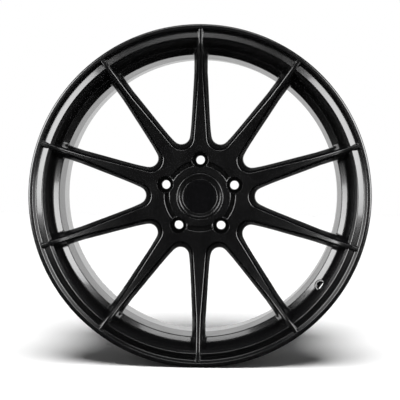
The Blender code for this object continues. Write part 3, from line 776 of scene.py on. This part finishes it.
def cap_shell(name):
    """The cap's ring and plate in one moulding, and the skirt behind them slotted into legs."""
    shape = bmesh.new()
    corners = [
        # Floor for the insert, and the stepped front ring
        (0, 41.1, 0),
        (27.1, 41.1, 0.2),
        (27.1, 39.1, 0.9),
        (31.6, 38.9, 0.9),
        (32.6, 37.9, 1.0),
        (CAP_RADIUS, 37.9, 1.2),
        (CAP_RADIUS, 41.7, 0.2),
        # Skirt and back
        (LEG_OUTER, 41.7, 0.2),
        (LEG_OUTER, 52.7, 0.4),
        (29.6, 53.7, 0.3),
        (LEG_INNER, 53.7, 0.3),
        (LEG_INNER, 42.9, 0.6),
        (0, 42.9, 0),
    ]
    turn_path(shape, rounded(corners, closed=False), CAP_STEPS)
    shell = as_object(name, shape)
    slots = bmesh.new()
    half = LEG_SLOT / 2
    for i in range(CAP_LEGS):
        angle = math.tau * (i + 0.5) / CAP_LEGS
        rings = []
        for depth in (44.9, 60):
            ring = []
            for radius, side in ((26.5, -half), (32.0, -half), (32.0, half), (26.5, half)):
                swing = math.atan2(side, radius)
                ring.append(wheel_point(math.hypot(radius, side), angle + swing, depth))
            rings.append(ring)
        skin_rings(slots, rings)
    cut(shell, as_object("cap_slots", slots))
    return shell


def cap_disc(name):
    """The round insert, slightly domed and left plain."""
    shape = bmesh.new()
    corners = [
        (0, 39.3, 0),
        (24.0, 39.4, 20),
        (INSERT_RADIUS, 39.7, 0.5),
        (INSERT_RADIUS, 40.8, 0.1),
        (0, 40.8, 0),
    ]
    turn_path(shape, rounded(corners, closed=False), CAP_STEPS)
    return as_object(name, shape)


def cap_wire(name):
    shape = bmesh.new()
    turn_path(shape, round_section(WIRE_RADIUS, WIRE_DEPTH, WIRE_THICKNESS), CAP_STEPS)
    return as_object(name, shape)


# Materials


def linear(hex_colour):
    """A colour given as sRGB hex, in linear light with full alpha."""
    values = [int(hex_colour[i : i + 2], 16) / 255 for i in (1, 3, 5)]
    return (*[v / 12.92 if v <= 0.04045 else ((v + 0.055) / 1.055) ** 2.4 for v in values], 1)


def add(tree, kind, settings, links):
    """Adds a node. Settings are its properties, or its inputs by name; links feed its inputs."""
    node = tree.nodes.new(kind)
    for name, value in settings.items():
        if name in node.inputs:
            node.inputs[name].default_value = value
        else:
            setattr(node, name, value)
    for name, source in links.items():
        tree.links.new(source, node.inputs[name])
    return node


def surface(name, shader):
    """A new material. shader holds the values of its Principled BSDF."""
    material = bpy.data.materials.new(name)
    material.use_nodes = True
    tree = material.node_tree
    principled = tree.nodes["Principled BSDF"]
    for socket, value in shader.items():
        principled.inputs[socket].default_value = value
    return material, tree, principled


def grain(tree, size, detail):
    """Fine noise whose lumps are about this many millimetres across."""
    place = add(tree, "ShaderNodeTexCoord", {}, {})
    settings = {"Scale": 1 / (size * MM), "Detail": detail, "Roughness": 0.6}
    return add(tree, "ShaderNodeTexNoise", settings, {"Vector": place.outputs["Object"]})


def satin_black_powder_coat():
    """Polyester powder coat on forged aluminium: deep black, with soft sheen and faint orange peel."""
    shader = {"Base Color": linear("#060607"), "IOR": 1.5, "Coat Weight": 0.5, "Coat Roughness": 0.08}
    material, tree, principled = surface("satin_black_powder_coat", shader)
    cloud = grain(tree, 30, 3)
    settings = {"From Min": 0.3, "From Max": 0.7, "To Min": 0.22, "To Max": 0.27}
    spread = add(tree, "ShaderNodeMapRange", settings, {"Value": cloud.outputs["Fac"]})
    tree.links.new(spread.outputs["Result"], principled.inputs["Roughness"])
    # Orange peel is about 1.5 mm across, and flows out almost flat on a part this well sprayed.
    peel = grain(tree, 1.5, 1)
    settings = {"Strength": 0.02, "Distance": 0.00003}
    bump = add(tree, "ShaderNodeBump", settings, {"Height": peel.outputs["Fac"]})
    tree.links.new(bump.outputs["Normal"], principled.inputs["Normal"])
    return material


def zinc_plate():
    """Bright zinc plating on steel: bluish grey, slightly cloudy."""
    shader = {"Base Color": linear("#b9bcc2"), "Metallic": 1}
    material, tree, principled = surface("zinc_plate", shader)
    cloud = grain(tree, 2, 3)
    settings = {"From Min": 0.3, "From Max": 0.7, "To Min": 0.24, "To Max": 0.40}
    spread = add(tree, "ShaderNodeMapRange", settings, {"Value": cloud.outputs["Fac"]})
    tree.links.new(spread.outputs["Result"], principled.inputs["Roughness"])
    return material


def drawn_spring_wire():
    """Drawn spring steel: darker than zinc, and finely scratched by the die."""
    shader = {"Base Color": linear("#8f8f92"), "Metallic": 1, "Roughness": 0.3}
    material, tree, principled = surface("drawn_spring_wire", shader)
    scratches = grain(tree, 0.5, 2)
    settings = {"Strength": 0.2, "Distance": 0.00002}
    bump = add(tree, "ShaderNodeBump", settings, {"Height": scratches.outputs["Fac"]})
    tree.links.new(bump.outputs["Normal"], principled.inputs["Normal"])
    return material


def nitrile_rubber():
    """Moulded nitrile rubber: matt black with a dusty bloom."""
    shader = {"Base Color": linear("#161616"), "Roughness": 0.75, "IOR": 1.52}
    material, tree, principled = surface("nitrile_rubber", shader)
    bloom = grain(tree, 0.8, 3)
    settings = {"Strength": 0.3, "Distance": 0.00005}
    bump = add(tree, "ShaderNodeBump", settings, {"Height": bloom.outputs["Fac"]})
    tree.links.new(bump.outputs["Normal"], principled.inputs["Normal"])
    return material


def moulded_nylon():
    """Black moulded nylon with a fine spark-eroded texture."""
    shader = {"Base Color": linear("#080809"), "Roughness": 0.22, "IOR": 1.53}
    material, tree, principled = surface("moulded_nylon", shader)
    texture = grain(tree, 0.4, 2)
    settings = {"Strength": 0.2, "Distance": 0.00002}
    bump = add(tree, "ShaderNodeBump", settings, {"Height": texture.outputs["Fac"]})
    tree.links.new(bump.outputs["Normal"], principled.inputs["Normal"])
    return material


def gloss_black_abs():
    """Painted ABS under clear lacquer, for the cap's insert."""
    shader = {"Base Color": linear("#08080a"), "Roughness": 0.18, "IOR": 1.54}
    shader.update({"Coat Weight": 0.6, "Coat Roughness": 0.05})
    material, tree, principled = surface("gloss_black_abs", shader)
    peel = grain(tree, 2, 1)
    settings = {"Strength": 0.15, "Distance": 0.00003}
    bump = add(tree, "ShaderNodeBump", settings, {"Height": peel.outputs["Fac"]})
    tree.links.new(bump.outputs["Normal"], principled.inputs["Normal"])
    return material


def floor_paper():
    """White seamless background paper."""
    material, _, _ = surface("floor_paper", {"Base Color": linear("#f4f4f4"), "Roughness": 0.9})
    return material


powder_coat = satin_black_powder_coat()
zinc = zinc_plate()
fit(face_forging(), powder_coat, "satin_black_paint", "wheel", "face_forging")
fit(inner_barrel("barrel"), powder_coat, "satin_black_paint", "wheel", "inner_barrel")
fit(joint_seal("joint_seal"), nitrile_rubber(), "seal_rubber", "wheel", "joint_seal_ring")
copies_round(socket_bolt("bolt"), zinc, "zinc_plated_steel", "joint_bolt", "assembly_bolt")
copies_round(washer("washer"), zinc, "zinc_plated_steel", "joint_washer", "bolt_washer")
fit(cap_shell("cap_body"), moulded_nylon(), "black_plastic", "centre_cap", "cap_shell")
fit(cap_disc("cap_insert"), gloss_black_abs(), "gloss_black_plastic", "centre_cap", "cap_face_disc")
fit(cap_wire("cap_wire"), drawn_spring_wire(), "spring_steel", "centre_cap", "cap_spring_ring")

# Floor, lights and camera

FLOOR_REACH = 6
FLOOR_GAP = 0.0002

floor_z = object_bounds()[0][2] - FLOOR_GAP
floor_corners = [(x * FLOOR_REACH, y * FLOOR_REACH, 0) for x, y in ((-1, -1), (1, -1), (1, 1), (-1, 1))]
floor_mesh = bpy.data.meshes.new("floor")
floor_mesh.from_pydata(floor_corners, [], [(0, 1, 2, 3)])
floor = bpy.data.objects.new("floor", floor_mesh)
floor.location.z = floor_z
floor.data.materials.append(floor_paper())
floor.visible_glossy = False
bpy.context.scene.collection.objects.link(floor)


def softbox(name, position, width, height, power):
    """A large softbox aimed at the middle of the wheel. It shows in the gloss and spares the floor."""
    data = bpy.data.lights.new(name, "AREA")
    data.shape = "RECTANGLE"
    data.size = width
    data.size_y = height
    data.energy = power
    lamp = bpy.data.objects.new(name, data)
    lamp.location = position
    lamp.rotation_euler = Vector(position).to_track_quat("Z", "Y").to_euler()
    lamp.visible_camera = False
    lamp.visible_diffuse = False
    bpy.context.scene.collection.objects.link(lamp)


def overhead_light():
    """Broad soft light from above and in front, which lays the wheel's shadow on the floor behind it."""
    data = bpy.data.lights.new("overhead_light", "SUN")
    data.energy = 4.2
    data.angle = math.radians(36)
    lamp = bpy.data.objects.new("overhead_light", data)
    lamp.rotation_euler = (math.radians(21), 0, 0)
    lamp.visible_glossy = False
    bpy.context.scene.collection.objects.link(lamp)


overhead_light()
softbox("left_softbox", position=(-1.29, -1.02, 0.41), width=1.46, height=1.20, power=61)
softbox("right_softbox", position=(1.26, -1.02, 0.39), width=1.46, height=1.15, power=58)
softbox("top_softbox", position=(0, -1.02, 1.46), width=1.3, height=0.45, power=12)


def studio_world():
    """A white room with little light of its own. Gloss sees a white screen behind the wheel only."""
    world = bpy.data.worlds.new("studio")
    world.use_nodes = True
    tree = world.node_tree
    tree.nodes.clear()
    place = add(tree, "ShaderNodeTexCoord", {}, {})
    parts = add(tree, "ShaderNodeSeparateXYZ", {}, {"Vector": place.outputs["Generated"]})
    settings = {"interpolation_type": "SMOOTHSTEP", "From Min": 0.93, "From Max": 0.975}
    settings.update({"To Min": 0.012, "To Max": 0.8})
    screen = add(tree, "ShaderNodeMapRange", settings, {"Value": parts.outputs["Y"]})
    white = {"Color": (1, 1, 1, 1)}
    mirrored = add(tree, "ShaderNodeBackground", white, {"Strength": screen.outputs["Result"]})
    fill = add(tree, "ShaderNodeBackground", {**white, "Strength": 0.04}, {})
    backdrop = add(tree, "ShaderNodeBackground", {**white, "Strength": 1.0}, {})
    rays = add(tree, "ShaderNodeLightPath", {}, {})
    mixed = fill.outputs["Background"]
    for ray, light in (("Is Glossy Ray", mirrored), ("Is Camera Ray", backdrop)):
        links = {0: rays.outputs[ray], 1: mixed, 2: light.outputs["Background"]}
        mixed = add(tree, "ShaderNodeMixShader", {}, links).outputs["Shader"]
    add(tree, "ShaderNodeOutputWorld", {}, {"Surface": mixed})
    bpy.context.scene.world = world


studio_world()

FRONT_Y = -HALF_WIDTH * MM
CAMERA_DISTANCE = 1.3
CAMERA_ROLL = math.radians(0.5)

camera_data = bpy.data.cameras.new("camera")
camera_data.lens = 77.2
camera_data.sensor_width = 36
camera = bpy.data.objects.new("camera", camera_data)
camera.location = (0.034, FRONT_Y - CAMERA_DISTANCE, 0.0202)
aim = Vector((0.0013, FRONT_Y, -0.0053)) - camera.location
roll = Matrix.Rotation(CAMERA_ROLL, 3, "Z")
camera.rotation_euler = (aim.to_track_quat("-Z", "Y").to_matrix() @ roll).to_euler()
bpy.context.scene.collection.objects.link(camera)
bpy.context.scene.camera = camera
bpy.context.scene.view_settings.view_transform = "Standard"
